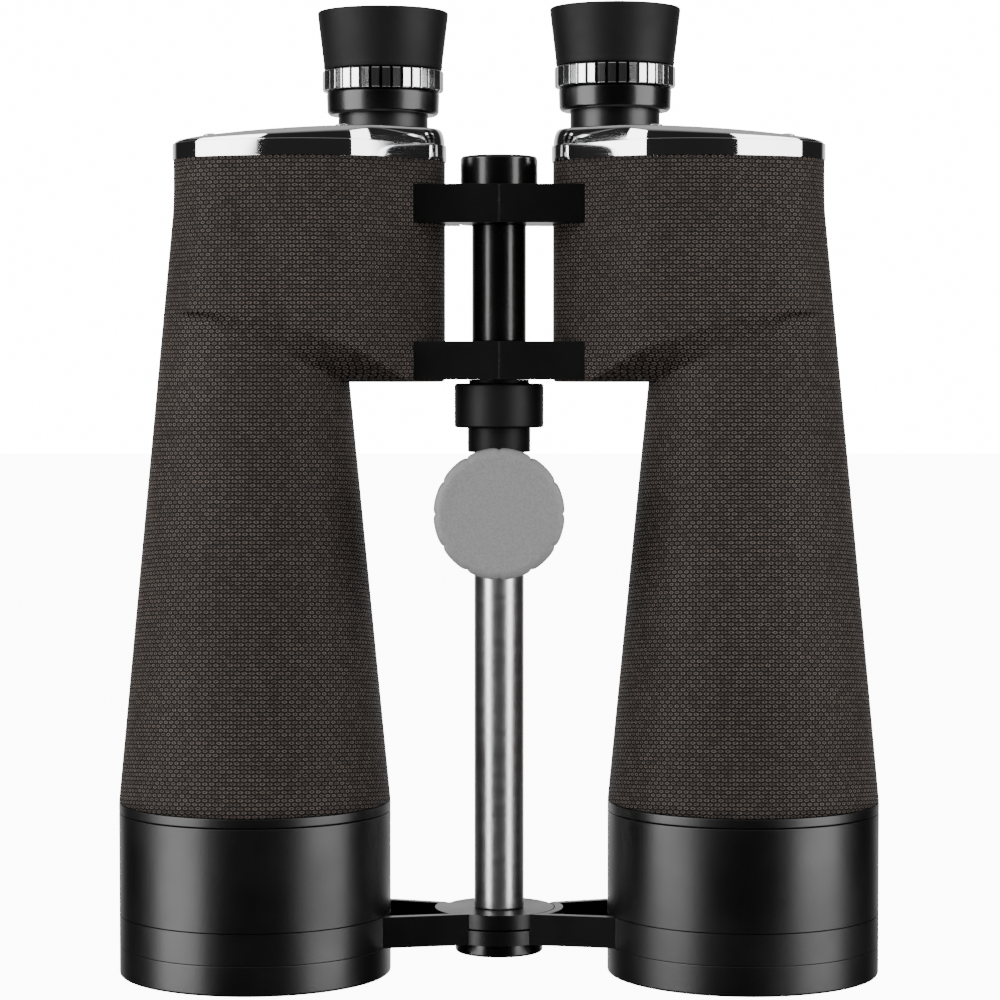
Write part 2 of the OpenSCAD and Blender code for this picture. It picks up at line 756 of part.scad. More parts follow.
shoe_travel = 1;
shoe_r = 5;
shoe_h = 3;
block_front = 7;
block_back = 5;
rim_gap = 0.1;
post_stub_r = 0.6 * post_r;
module adapter_block() {
  base = bush_rim[1] + rim_gap;
  color([0.12, 0.12, 0.12]) at_clamp() difference() {
    translate([-block_w2, -bush_r - block_front, base - block_h / 2])
      cube([2 * block_w2, 2 * bush_r + block_front + block_back, block_h - base]);
    translate([0, 0, -block_h]) cylinder(r = bush_r + running_gap, h = 2 * block_h);
    along_y(-bush_r - shoe_h - shoe_travel - face_gap, shoe_r + running_gap, bush_r);
    along_y(-bush_r - block_front - small, screw_r + running_gap, bush_r);
    along_y(bush_r + block_back - post_stub - rim_gap, post_stub_r, bush_r);
  }
}

post_stub = 2;
module tripod_post() {
  start = bush_r + block_back;
  color([0.1, 0.1, 0.1]) at_clamp() difference() {
    union() {
      along_y(start, post_r, post_reach - start);
      along_y(start - post_stub, post_stub_r - push_gap, post_stub + eps);
    }
    along_y(post_reach - thread_depth, thread_r, thread_depth + small);
  }
}

module clamp_shoe() {
  color([0.7, 0.6, 0.3]) at_clamp() difference() {
    along_y(-bush_r - shoe_h, shoe_r, shoe_h + 1);
    translate([0, 0, -shoe_r - small]) cylinder(r = bush_r + push_gap, h = 2 * shoe_r + 2 * small);
  }
}

knob_boss = [9, 7.5, 7];
screw_end = 3;
scallop = [2.2, 2.8];
module clamp_screw() {
  tip = -bush_r - shoe_h - push_gap;
  color([0.6, 0.6, 0.6]) at_clamp() along_y(screw_end - knob_reach, screw_r, tip + knob_reach - screw_end);
}

module clamp_knob() {
  color([0.45, 0.45, 0.45]) at_clamp() difference() {
    union() {
      along_y(-knob_reach, knob_r, knob_t);
      along_y(knob_t - knob_reach - eps, knob_boss[0], knob_boss[2], knob_boss[1]);
    }
    for (i = [0:knob_lobes - 1]) rotate([0, i * 360 / knob_lobes, 0])
      translate([knob_r + scallop[0], 0, 0])
        along_y(-knob_reach - small, scallop[1], knob_t + 2 * small);
    along_y(screw_end - knob_reach - eps, screw_r + push_gap, knob_reach);
  }
}

// --- nodes ------------------------------------------------------------------------

module lift(right) { translate([0, 0, right ? right_focus : 0]) children(); }

side(false) covering();  // left_covering
side(true) covering();  // right_covering
side(false) prism_housing(true);  // left_prism_housing
side(true) prism_housing(false);  // right_prism_housing
side(false) objective_tube();  // left_objective_tube
side(true) objective_tube();  // right_objective_tube
side(false) tube_ring();  // left_tube_ring
side(true) tube_ring();  // right_tube_ring
side(false) objective_barrel();  // left_objective_barrel
side(true) objective_barrel();  // right_objective_barrel
side(false) front_ring();  // left_front_ring
side(true) front_ring();  // right_front_ring
side(false) brace_arm(true);  // left_brace_arm
side(true) brace_arm(false);  // right_brace_arm
side(false) objective_cell();  // left_objective_cell
side(true) objective_cell();  // right_objective_cell
side(false) objective_lens();  // left_objective_lens
side(true) objective_lens();  // right_objective_lens
side(false) lens_retainer();  // left_lens_retainer
side(true) lens_retainer();  // right_lens_retainer
side(false) prism_shelf();  // left_prism_shelf
side(true) prism_shelf();  // right_prism_shelf
side(false) upper_prism();  // left_upper_prism
side(true) upper_prism();  // right_upper_prism
side(false) lower_prism();  // left_lower_prism
side(true) lower_prism();  // right_lower_prism
side(false) prism_clips();  // left_prism_clips
side(true) prism_clips();  // right_prism_clips
side(false) cover_plate();  // left_cover_plate
side(true) cover_plate();  // right_cover_plate
side(false) plate_screws();  // left_plate_screws
side(true) plate_screws();  // right_plate_screws
side(false) eyepiece_neck();  // left_eyepiece_neck
side(true) eyepiece_neck();  // right_eyepiece_neck
side(false) lift(false) focus_ring();  // left_focus_ring
side(true) lift(true) focus_ring();  // right_focus_ring
side(false) lift(false) grip_ring();  // left_grip_ring
side(true) lift(true) grip_ring();  // right_grip_ring
side(false) lift(false) eyecup();  // left_eyecup
side(true) lift(true) eyecup();  // right_eyecup
side(false) lift(false) lens_cell();  // left_lens_cell
side(true) lift(true) lens_cell();  // right_lens_cell
side(false) lift(false) field_lens();  // left_field_lens
side(true) lift(true) field_lens();  // right_field_lens
side(false) lift(false) eye_lens();  // left_eye_lens
side(true) lift(true) eye_lens();  // right_eye_lens
hinge_axle();
hinge_tube();
hinge_cap();
hinge_washers();
rod_socket();
center_rod();
hub_nut();
adapter_bush();
adapter_block();
tripod_post();
clamp_knob();
clamp_screw();
clamp_shoe();
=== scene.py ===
# %% [markdown]
# # Giant binoculars, piece by piece
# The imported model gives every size, place and joint. This script dresses it: the outer pieces
# are modelled again with rounded edges, and every surface gets a procedural finish.

# %% Load the frame
import bpy
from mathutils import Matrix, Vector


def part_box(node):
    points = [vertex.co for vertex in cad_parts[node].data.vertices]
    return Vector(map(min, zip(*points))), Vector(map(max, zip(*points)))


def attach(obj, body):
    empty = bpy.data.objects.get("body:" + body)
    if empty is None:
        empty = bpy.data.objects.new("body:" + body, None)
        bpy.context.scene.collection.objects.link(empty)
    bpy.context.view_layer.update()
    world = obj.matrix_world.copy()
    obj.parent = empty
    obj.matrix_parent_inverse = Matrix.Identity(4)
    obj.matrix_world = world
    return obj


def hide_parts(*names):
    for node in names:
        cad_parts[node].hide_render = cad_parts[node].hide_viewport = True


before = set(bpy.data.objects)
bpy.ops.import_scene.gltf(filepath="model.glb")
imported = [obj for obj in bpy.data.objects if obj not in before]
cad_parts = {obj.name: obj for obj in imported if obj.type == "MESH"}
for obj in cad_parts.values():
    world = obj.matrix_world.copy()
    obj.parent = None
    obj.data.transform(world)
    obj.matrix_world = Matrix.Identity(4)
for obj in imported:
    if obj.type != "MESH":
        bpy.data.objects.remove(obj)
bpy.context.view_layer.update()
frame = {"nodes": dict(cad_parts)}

import bpy
import math
from mathutils import Vector

MM = 0.001
SIDES = ("left", "right")
nodes = frame["nodes"]


# %% [markdown]
# ## Sizes
# Every place is read from the frame, in millimetres, so a piece sits where its CAD solid is. The
# few numbers below it are details too small for the CAD: roundings, beads and seams.

# %% Read the sizes
def low(node):
    return [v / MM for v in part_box(node)[0]]


def high(node):
    return [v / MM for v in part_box(node)[1]]


def middle(node, axis):
    return (low(node)[axis] + high(node)[axis]) / 2


def radius(node):
    return (high(node)[0] - low(node)[0]) / 2


def heights(node):
    """Foot and top of a node."""
    return low(node)[2], high(node)[2]


lobe = (middle("left_front_ring", 0), middle("left_front_ring", 1))
eye = (middle("left_eyepiece_neck", 0), middle("left_eyepiece_neck", 1))
hinge = (middle("hinge_tube", 0), middle("hinge_tube", 1))
barrel_r = (high("left_front_ring")[1] - low("left_front_ring")[1]) / 2
COVER_T = 0.8
cover_low, deck_z = heights("left_covering")
housing_z = low("left_prism_housing")[2] - COVER_T
print("objective axis", lobe, "eyepiece axis", eye, "hinge", hinge, "deck", deck_z, housing_z)


# %% [markdown]
# ## Camera, floor and studio
# A long lens about a metre away keeps the two tubes almost parallel. Two large soft boxes stand
# left and right of the camera, so round metal shows a bright band on each flank and a dark middle.

# %% Camera
CAMERA_DISTANCE = 994
CAMERA_HEIGHT = 196.15
CAMERA_DOWN = 2.48
CAMERA_ASIDE = 0.3
bpy.ops.object.camera_add(
    location=(CAMERA_ASIDE * MM, (hinge[1] - CAMERA_DISTANCE) * MM, CAMERA_HEIGHT * MM),
    rotation=(math.radians(90 - CAMERA_DOWN), 0, 0))
camera = bpy.context.object
camera.data.sensor_width = 36
camera.data.lens = 109.8
camera.data.clip_end = 50
bpy.context.scene.camera = camera
print("camera:", camera.data.lens, "mm lens")

# %% Floor and lights
bpy.ops.object.select_all(action="DESELECT")
bpy.ops.mesh.primitive_plane_add(size=12, location=(0, 0, 0))
floor = bpy.context.object
floor.name = "floor"
floor.visible_glossy = False
AIM_HEIGHT = 0.17


def soft_box(name, angle, distance, height, wide, tall, watts):
    """A rectangular light aimed at the middle of the binoculars. angle counts from the camera."""
    turn = math.radians(angle)
    spot = Vector((math.sin(turn) * distance, -math.cos(turn) * distance, height))
    bpy.ops.object.light_add(type="AREA", location=spot)
    lamp = bpy.context.object
    lamp.name = name
    lamp.data.shape = "RECTANGLE"
    lamp.data.size = wide
    lamp.data.size_y = tall
    lamp.data.energy = watts
    aim = Vector((0, 0, AIM_HEIGHT)) - spot
    lamp.rotation_euler = aim.to_track_quat("-Z", "Y").to_euler()
    return lamp


soft_box("left_soft_box", -64, 1.15, 0.3, 0.86, 1.3, 27)
soft_box("right_soft_box", 63, 1.15, 0.3, 0.86, 1.3, 22)
print("floor and two lights placed")


# %% [markdown]
# ## Shader maths
# A finish is easier to read as an expression than as a web of nodes. `Num` wraps one socket, and
# the usual operators add the Math nodes. `Nodes` adds any other node to a tree, and `Finish` is
# the tree of one material.

# %% The small shader language
class Num:
    """One number in a shader: + - * / build Math nodes."""

    def __init__(self, nodes, socket):
        self.nodes = nodes
        self.socket = socket

    def math(self, operation, other=None, swap=False, third=None):
        values = [self, other] if not swap else [other, self]
        if third is not None:
            values.append(third)
        inputs = {i: v for i, v in enumerate(values) if v is not None}
        return self.nodes.node("ShaderNodeMath", {"operation": operation}, inputs)

    def __add__(self, other):
        return self.math("ADD", other)

    def __radd__(self, other):
        return self.math("ADD", other)

    def __sub__(self, other):
        return self.math("SUBTRACT", other)

    def __rsub__(self, other):
        return self.math("SUBTRACT", other, swap=True)

    def __mul__(self, other):
        return self.math("MULTIPLY", other)

    def __rmul__(self, other):
        return self.math("MULTIPLY", other)

    def __truediv__(self, other):
        return self.math("DIVIDE", other)

    def step(self, start, end, low_value=0.0, high_value=1.0):
        """Rises smoothly from low_value at start to high_value at end."""
        settings = {"interpolation_type": "SMOOTHSTEP"}
        inputs = {"Value": self, "From Min": start, "From Max": end,
                  "To Min": low_value, "To Max": high_value}
        return self.nodes.node("ShaderNodeMapRange", settings, inputs)


class Nodes:
    """A node tree, and the methods that add to it."""

    def __init__(self, tree):
        self.tree = tree

    def node(self, kind, settings=None, inputs=None, output=0):
        made = self.tree.nodes.new(kind)
        for key, value in (settings or {}).items():
            setattr(made, key, value)
        for key, value in (inputs or {}).items():
            if isinstance(value, Num):
                self.tree.links.new(value.socket, made.inputs[key])
            else:
                made.inputs[key].default_value = value
        return Num(self, made.outputs[output])

    def parts(self, vector):
        """The x, y and z of a vector."""
        split = self.node("ShaderNodeSeparateXYZ", None, {0: vector}).socket.node
        return [Num(self, part) for part in split.outputs]


class Finish(Nodes):
    """One material, its Principled shader and the methods that shape a finish."""

    def __init__(self, name, **fixed):
        self.material = bpy.data.materials.new(name)
        self.material.use_nodes = True
        super().__init__(self.material.node_tree)
        self.shader = self.tree.nodes["Principled BSDF"]
        for socket, value in fixed.items():
            self.shader.inputs[socket.replace("_", " ")].default_value = value

    def place(self, output="Object"):
        return self.node("ShaderNodeTexCoord", output=output)

    def noise(self, where, scale, detail=3.0, roughness=0.5):
        return self.node("ShaderNodeTexNoise", None, {
            "Vector": where, "Scale": scale, "Detail": detail, "Roughness": roughness})

    def stretched(self, where, scale):
        return self.node("ShaderNodeMapping", None, {"Vector": where, "Scale": scale})

    def blend(self, factor, first, second):
        """A colour that goes from first to second."""
        return self.node("ShaderNodeMix", {"data_type": "RGBA"}, {
            "Factor": factor, 6: first, 7: second}, output=2)

    def bump(self, height, distance, strength=1.0):
        normal = self.node("ShaderNodeBump", None, {
            "Height": height, "Distance": distance, "Strength": strength})
        self.set("Normal", normal)

    def set(self, socket, value):
        self.tree.links.new(value.socket, self.shader.inputs[socket])


def grey(value, warm=1.0):
    return (value * warm, value, value / warm, 1.0)


# %% [markdown]
# ## Painted and plated finishes
# Black enamel is never one flat black: it has a slight orange peel, and its gloss changes a little
# where hands touch it. Chrome and steel differ in their roughness, and the grooves of the fluted
# ring are coloured near black as painted shade.

# %% Enamels
def enamel(name, tone, gloss, grain, coat=0.0, shine=0.5):
    """Painted metal: tone is its lightness, gloss its roughness, grain the size of its texture."""
    finish = Finish(name, Coat_Weight=coat, Coat_Roughness=0.12, Specular_IOR_Level=shine)
    where = finish.place()
    peel = finish.noise(where, grain, 2.0)
    touch = finish.noise(where, 28.0, 4.0)
    finish.set("Base Color", finish.blend(touch.step(0.3, 0.7), grey(tone), grey(tone * 1.35)))
    finish.set("Roughness", touch.step(0.25, 0.75, gloss - 0.05, gloss + 0.07))
    finish.bump(peel, 0.00004, 0.5)
    return finish.material


satin_black = enamel("satin_black_enamel", 0.0014, 0.36, 900.0)
gloss_black = enamel("gloss_black_enamel", 0.0011, 0.26, 500.0, coat=0.15)
grey_enamel = enamel("matt_grey_enamel", 0.0032, 0.5, 2600.0, shine=0.3)
anodised = enamel("black_anodising", 0.005, 0.42, 1800.0)
print("enamels:", satin_black.name, gloss_black.name, grey_enamel.name, anodised.name)


# %% Bright metals
GROOVE_SHADE_EDGE = 0.25


def metal(name, tone, gloss, lines=None, coarse=60.0, depth=0.000004, sunk=None):
    """Bare or plated metal. lines stretches its marks, as turning and brushing do. sunk is the
    (x, y, radius) of an upright axis: what lies deeper than the radius gets painted shade."""
    finish = Finish(name, Metallic=1.0)
    where = finish.place()
    marks = finish.noise(finish.stretched(where, lines), 40.0, 4.0) if lines \
        else finish.noise(where, coarse, 3.0)
    haze = finish.noise(where, 35.0, 4.0)
    dull = tuple(v * 0.9 for v in tone) + (1.0,)
    base = finish.blend(haze.step(0.35, 0.7), tone + (1.0,), dull)
    if sunk:
        x, y, _ = finish.parts(where)
        x, y = x.math("ABSOLUTE") - abs(sunk[0]) * MM, y - sunk[1] * MM
        from_axis = (x * x + y * y).math("SQRT")
        # Painted shade: what lies deeper than the radius, the flute grooves, is coloured near
        # black.
        groove_shade = from_axis.step(sunk[2] * MM, (sunk[2] - GROOVE_SHADE_EDGE) * MM)
        base = finish.blend(groove_shade, base, grey(0.01))
    finish.set("Base Color", base)
    finish.set("Roughness", marks.step(0.3, 0.7, gloss * 0.9, gloss * 1.1))
    finish.bump(marks, depth, 0.6)
    return finish.material


chrome = metal("bright_chrome", (0.84, 0.84, 0.85), 0.045, coarse=220.0, depth=0.0000008)
fluted_chrome = metal("brushed_chrome", (0.8, 0.8, 0.81), 0.17, (40.0, 40.0, 2.0),
                      sunk=(eye[0], eye[1], radius("left_grip_ring") - 0.3))
column_steel = metal("turned_column_steel", (0.78, 0.78, 0.79), 0.34, (3.0, 3.0, 12.0),
                     depth=0.0000001)
plain_steel = metal("plain_steel", (0.5, 0.5, 0.52), 0.3, (1.0, 1.0, 40.0))
brass = metal("washer_brass", (0.72, 0.5, 0.2), 0.3, (1.0, 1.0, 40.0))
casting = metal("machined_casting", (0.5, 0.5, 0.5), 0.42, coarse=600.0, depth=0.00001)
print("metals:", chrome.name, fluted_chrome.name, column_steel.name, plain_steel.name, brass.name)


# %% Rubber, moulding, floor and glass
def speckled(name, tone, gloss, grain, depth, spread=0.25, shine=0.5):
    """A moulded surface with a fine grain all over."""
    finish = Finish(name, Specular_IOR_Level=shine)
    where = finish.place()
    fine = finish.noise(where, grain, 2.0, 0.6)
    broad = finish.noise(where, 45.0, 3.0)
    shade = finish.blend(fine.step(0.3, 0.7), grey(tone * (1 - spread)), grey(tone * (1 + spread)))
    finish.set("Base Color", finish.blend(broad.step(0.3, 0.8, 0.0, 0.2), shade, grey(tone * 0.8)))
    finish.set("Roughness", broad.step(0.3, 0.7, gloss - 0.05, gloss + 0.05))
    finish.bump(fine, depth, 0.7)
    return finish.material


eyecup_rubber = speckled("matt_black_rubber", 0.0022, 0.6, 2400.0, 0.00004, shine=0.27)
knob_grey = speckled("grained_grey_moulding", 0.215, 0.5, 1700.0, 0.00012, 0.12)
pale_floor = speckled("pale_floor", 0.8, 0.6, 60.0, 0.00002, 0.01)
floor.data.materials.append(pale_floor)


def paper_white(material, strength, share):
    """Lifts a surface to paper white where the camera sees it, and leaves its bounce alone."""
    paper = Nodes(material.node_tree)
    seen = paper.node("ShaderNodeLightPath", output="Is Camera Ray")
    surface = Num(paper, paper.tree.nodes["Principled BSDF"].outputs[0])
    glow = paper.node("ShaderNodeEmission", None, {"Strength": strength})
    lifted = paper.node("ShaderNodeMixShader", None, {"Fac": seen * share, 1: surface, 2: glow})
    paper.tree.links.new(lifted.socket, paper.tree.nodes["Material Output"].inputs["Surface"])


paper_white(pale_floor, 12.0, 0.97)


def optical_glass(name, tint, film):
    """Polished glass with a thin coloured coating on its surface."""
    finish = Finish(name, IOR=1.52, Transmission_Weight=1.0, Specular_Tint=film, Coat_Tint=film)
    smear = finish.noise(finish.place(), 60.0, 3.0)
    finish.set("Base Color", finish.blend(smear.step(0.3, 0.8), tint, grey(0.93)))
    finish.set("Roughness", smear.step(0.4, 0.9, 0.015, 0.05))
    return finish.material


coated_glass = optical_glass("coated_lens_glass", (0.86, 0.93, 0.97, 1), (0.45, 0.5, 1.0, 1))
prism_glass = optical_glass("prism_glass", (0.93, 0.97, 0.96, 1), (1.0, 1.0, 1.0, 1))
print("plain finishes:", len(bpy.data.materials))


# %% [markdown]
# ## Leatherette
# The skin is pressed with rows of small oval pebbles, each row shifted by half a pebble, and
# each pebble has a shallow dimple. The pattern follows the piece's own UV map, which is laid out
# in metres along the surface, so the rows wrap round the tube as a real sheet does.

# %% The pebble grain
PEBBLE_PITCH = 2.28 * MM
PEBBLE_ROW = 1.27 * MM
PEBBLE_LONG = 1.06 * MM
PEBBLE_SHORT = 0.63 * MM


def leatherette():
    """Painted shade in the gaps, brown pebbles with a painted highlight on the rim and painted
    shade in the dimple. away is 0 at a pebble's middle and 1 at its edge, and chance gives each
    pebble its own highlight strength and height."""
    finish = Finish("pebbled_leatherette", Specular_IOR_Level=0.27)
    flat = finish.node("ShaderNodeUVMap", {"uv_map": "grain"})
    along, up, _ = finish.parts(flat)
    row_at = up / PEBBLE_ROW
    row = row_at.math("FLOOR")
    shift = row.math("FLOORED_MODULO", 2.0) * 0.5
    pebble_at = along / PEBBLE_PITCH + shift
    pebble = pebble_at.math("FLOOR")
    dx = (pebble_at - pebble - 0.5) * (PEBBLE_PITCH / PEBBLE_LONG)
    dy = (row_at - row - 0.5) * (PEBBLE_ROW / PEBBLE_SHORT)
    away = (dx * dx + dy * dy).math("SQRT")
    dome = away.step(1.06, 0.7)
    dimple = away.step(0.6, 0.12)
    which = finish.node("ShaderNodeCombineXYZ", None, {0: pebble, 1: row})
    chance = finish.node("ShaderNodeTexWhiteNoise", {"noise_dimensions": "2D"}, {"Vector": which})
    where = finish.place()
    broad = finish.noise(where, 22.0, 4.0)
    pores = finish.noise(where, 3000.0, 2.0)
    # The darkest brown is painted shade for the gaps and dimples. The pale tan is a painted
    # highlight on each pebble's rim.
    painted_shade_brown, body = (0.0022, 0.0016, 0.0012, 1), (0.031, 0.0232, 0.0188, 1)
    rim_highlight_tan = (0.1, 0.0755, 0.063, 1)
    base = finish.blend(dome.step(0.05, 0.9), painted_shade_brown, body)
    # Painted highlight: a pale ring round each pebble's dimple.
    rim = (dome.step(0.7, 1.0) - dimple) * chance.step(-0.6, 1.2)
    base = finish.blend(rim.math("MAXIMUM", 0.0), base, rim_highlight_tan)
    # Painted shade in each dimple.
    base = finish.blend(dimple * 0.75, base, painted_shade_brown)
    base = finish.blend(broad.step(0.3, 0.75, 0.0, 0.22), base, painted_shade_brown)
    finish.set("Base Color", base)
    finish.set("Roughness", dome.step(0.0, 1.0, 0.72, 0.48) + broad * 0.08)
    height = dome - dimple * 0.7 + pores * 0.06 + chance * 0.15
    finish.bump(height, 0.0003, 1.0)
    return finish.material


leather = leatherette()
print("leatherette ready")


# %% [markdown]
# ## Plan of the prism housing
# Seen from above, the housing is a rounded shape that runs round four discs: the lobe over the
# objective, a gently bowed front, a corner, and the end under the eyepiece. The same outline
# gives the covering and the cover plate, so it is written once as a function of its inset.

# %% The housing outline
PROUD = 0.4
CORNER_ANGLE = 20.0
FRONT_SHIFT = (17.8, 10.5)
lobe_r, front_r, corner_r = 25.4, 41.0, 18.0
eye_end_r = high("left_cover_plate")[0] - PROUD - eye[0]
front_centre = (lobe[0] + FRONT_SHIFT[0], lobe[1] + FRONT_SHIFT[1])


def towards(angle):
    """Unit vector at an angle from straight forward (-Y), positive towards the hinge."""
    turn = math.radians(angle)
    return math.sin(turn), -math.cos(turn)


corner_centre = tuple(front_centre[i] + (front_r - corner_r) * towards(CORNER_ANGLE)[i]
                      for i in (0, 1))


def tangent(c1, r1, c2, r2, front):
    """Angle of the normal of the straight line that touches two discs."""
    dx, dy = c1[0] - c2[0], c1[1] - c2[1]
    turn = math.degrees(math.asin((r2 - r1) / math.hypot(dx, dy)))
    base = math.degrees(math.atan2(dy, dx))
    return base + 180 - turn if front else base + turn


def arc(centre, r, start, end, gap=1.5):
    """Points along a disc's rim, one every gap degrees or closer."""
    steps = max(2, math.ceil((end - start) / gap))
    angles = [start + (end - start) * i / steps for i in range(steps + 1)]
    return [(centre[0] + r * towards(a)[0], centre[1] + r * towards(a)[1]) for a in angles]


def outline(inset):
    """The left housing's plan, drawn in by inset."""
    front = tangent(lobe, lobe_r, front_centre, front_r, True)
    slant = tangent(corner_centre, corner_r, eye, eye_end_r, True)
    back = tangent(lobe, lobe_r, eye, eye_end_r, False)
    return (arc(lobe, lobe_r - inset, back, front)
            + arc(front_centre, front_r - inset, front, CORNER_ANGLE)
            + arc(corner_centre, corner_r - inset, CORNER_ANGLE, slant)
            + arc(eye, eye_end_r - inset, slant, back + 360))


def reach(points, centre, angle):
    """Distance from centre to a closed outline. angle is in radians from +X."""
    ux, uy = math.cos(angle), math.sin(angle)
    best = 0.0
    for (ax, ay), (bx, by) in zip(points, points[1:] + points[:1]):
        ax, ay, bx, by = ax - centre[0], ay - centre[1], bx - centre[0], by - centre[1]
        side_a, side_b = ux * ay - uy * ax, ux * by - uy * bx
        if side_a * side_b > 0 or side_a == side_b:
            continue
        share = side_a / (side_a - side_b)
        best = max(best, (ax + (bx - ax) * share) * ux + (ay + (by - ay) * share) * uy)
    return best


print("outline points:", len(outline(0)))


# %% [markdown]
# ## Helpers for solid pieces
# A piece is finished when its place is in its mesh, its normals point outwards, its material is
# set, and it rides on its body in place of the CAD node.

# %% Finishing a piece
def only(piece):
    """Selects one piece and makes it active."""
    bpy.ops.object.select_all(action="DESELECT")
    piece.select_set(True)
    bpy.context.view_layer.objects.active = piece


def settle(piece, material, body, node=None, smooth=40.0, weighted=True):
    """Applies the place, recalculates normals, shades, and hands the piece to the frame.

    Weighted normals keep broad faces flat beside their small rounded edges."""
    only(piece)
    bpy.ops.object.transform_apply(location=True, rotation=True, scale=True)
    bpy.ops.object.mode_set(mode="EDIT")
    bpy.ops.mesh.select_all(action="SELECT")
    bpy.ops.mesh.remove_doubles(threshold=0.000002)
    bpy.ops.mesh.normals_make_consistent(inside=False)
    bpy.ops.object.mode_set(mode="OBJECT")
    bpy.ops.object.shade_smooth_by_angle(angle=math.radians(smooth))
    if weighted:
        flat_faces = piece.modifiers.new("flat_faces", "WEIGHTED_NORMAL")
        flat_faces.keep_sharp = True
        bpy.ops.object.modifier_apply(modifier="flat_faces")
    piece.data.materials.clear()
    piece.data.materials.append(material)
    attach(piece, body)
    if node:
        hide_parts(node)
    return piece


def ring_stack(name, centre, r, sides, count):
    """An open tube of count rings of points, one metre apart, for code to move into shape."""
    bpy.ops.object.select_all(action="DESELECT")
    bpy.ops.mesh.primitive_cylinder_add(
        vertices=sides, radius=r * MM, depth=1.0, end_fill_type="NOTHING",
        location=(centre[0] * MM, centre[1] * MM, 0.5))
    piece = bpy.context.object
    piece.name = name
    bpy.ops.object.transform_apply(location=True)
    bpy.ops.object.mode_set(mode="EDIT")
    bpy.ops.mesh.select_all(action="DESELECT")
    bpy.ops.mesh.select_mode(type="VERT")
    bpy.ops.object.mode_set(mode="OBJECT")
    for vertex in piece.data.vertices:
        vertex.select = vertex.co.z > 0.5
    bpy.ops.object.mode_set(mode="EDIT")
    bpy.ops.mesh.select_mode(type="EDGE")
    for _ in range(count - 2):
        bpy.ops.mesh.extrude_edges_move(TRANSFORM_OT_translate={"value": (0, 0, 1.0)})
    bpy.ops.object.mode_set(mode="OBJECT")
    return piece


def give_wall(piece, thickness):
    """Adds an inner wall, and leaves the outside where it was drawn."""
    only(piece)
    wall = piece.modifiers.new("wall", "SOLIDIFY")
    wall.thickness = thickness * MM
    wall.offset = -1
    bpy.ops.object.modifier_apply(modifier="wall")


def mirrored(piece, name):
    """A copy with its own mesh, on the other side of the hinge plane."""
    only(piece)
    bpy.ops.object.duplicate()
    twin = bpy.context.object
    twin.name = name
    twin.data.name = name
    twin.scale.x = -1
    bpy.ops.object.transform_apply(location=True, rotation=True, scale=True)
    bpy.ops.object.mode_set(mode="EDIT")
    bpy.ops.mesh.select_all(action="SELECT")
    bpy.ops.mesh.normals_make_consistent(inside=False)
    bpy.ops.object.mode_set(mode="OBJECT")
    return twin


# %% [markdown]
# ## Turned parts
# Barrels, rings, caps and tubes come off a lathe. A single point is extruded along the profile
# and the profile is spun round its axis. Corners are rounded first, because the thin highlight
# on a rounded edge is what makes metal look machined.

# %% Rounded profiles and the lathe
def rounded(corners, steps=3):
    """(radius, height, rounding) corners of a closed profile, as points with arcs in them."""
    points = []
    count = len(corners)
    for i, (x, y, r) in enumerate(corners):
        here = Vector((x, y))
        before = Vector(corners[i - 1][:2]) - here
        after = Vector(corners[(i + 1) % count][:2]) - here
        r = min(r, 0.45 * before.length, 0.45 * after.length)
        if r < 0.01:
            points.append((x, y))
            continue
        start, end = here + before.normalized() * r, here + after.normalized() * r
        for k in range(steps + 1):
            t = k / steps
            p = start * (1 - t) ** 2 + here * 2 * t * (1 - t) + end * t * t
            points.append((p.x, p.y))
    return points


def turned(name, corners, axis, sides=128, steps=3):
    """Spins a closed profile, in millimetres, about an upright axis."""
    points = rounded(corners, steps)
    bpy.ops.object.select_all(action="DESELECT")
    x0, z0 = points[0]
    start = ((axis[0] + x0) * MM, axis[1] * MM, z0 * MM)
    bpy.ops.mesh.primitive_plane_add(size=MM, location=start)
    piece = bpy.context.object
    piece.name = name
    bpy.ops.object.mode_set(mode="EDIT")
    bpy.ops.mesh.select_mode(type="VERT")
    bpy.ops.mesh.select_all(action="SELECT")
    bpy.ops.mesh.merge(type="CENTER")
    for (xa, za), (xb, zb) in zip(points, points[1:] + points[:1]):
        bpy.ops.mesh.extrude_region_move(
            TRANSFORM_OT_translate={"value": ((xb - xa) * MM, 0, (zb - za) * MM)})
    bpy.ops.mesh.select_all(action="SELECT")
    bpy.ops.mesh.remove_doubles(threshold=0.000001)
    bpy.ops.mesh.select_all(action="SELECT")
    bpy.ops.mesh.spin(steps=sides, angle=2 * math.pi, axis=(0, 0, 1),
                      center=(axis[0] * MM, axis[1] * MM, 0))
    bpy.ops.mesh.select_all(action="SELECT")
    bpy.ops.mesh.remove_doubles(threshold=0.000002)
    bpy.ops.object.mode_set(mode="OBJECT")
    bpy.ops.object.transform_apply(location=True)
    return piece


def tube(r_out, r_in, z0, z1, edge=0.35, inner_edge=0.15):
    """Corners of a plain ring."""
    return [(r_in, z0, inner_edge), (r_out, z0, edge), (r_out, z1, edge), (r_in, z1, inner_edge)]


def both(node, make, material, bodies):
    """Makes a left piece in place of a CAD node, and its mirror image on the right."""
    left = make("shown_left_" + node)
    right = mirrored(left, "shown_right_" + node)
    lift = (low("right_" + node)[2] - low("left_" + node)[2]) * MM
    right.location.z += lift
    settle(left, material, "left_" + bodies, "left_" + node)
    settle(right, material, "right_" + bodies, "right_" + node)
    return left, right


# %% [markdown]
# ## Objective barrels
# Each barrel is a stack of rings: the front ring the glass stands on, the brace ring, the long
# barrel and a thin ring under the covering. The fine dark seams between them come from rounding
# each ring's edges, not from painted lines.

# %% Barrel rings
brace_top = high("left_brace_arm")[2]
BARREL_WALL = 3
BRACE_SEAT = 1.85
bore_r = barrel_r - BARREL_WALL


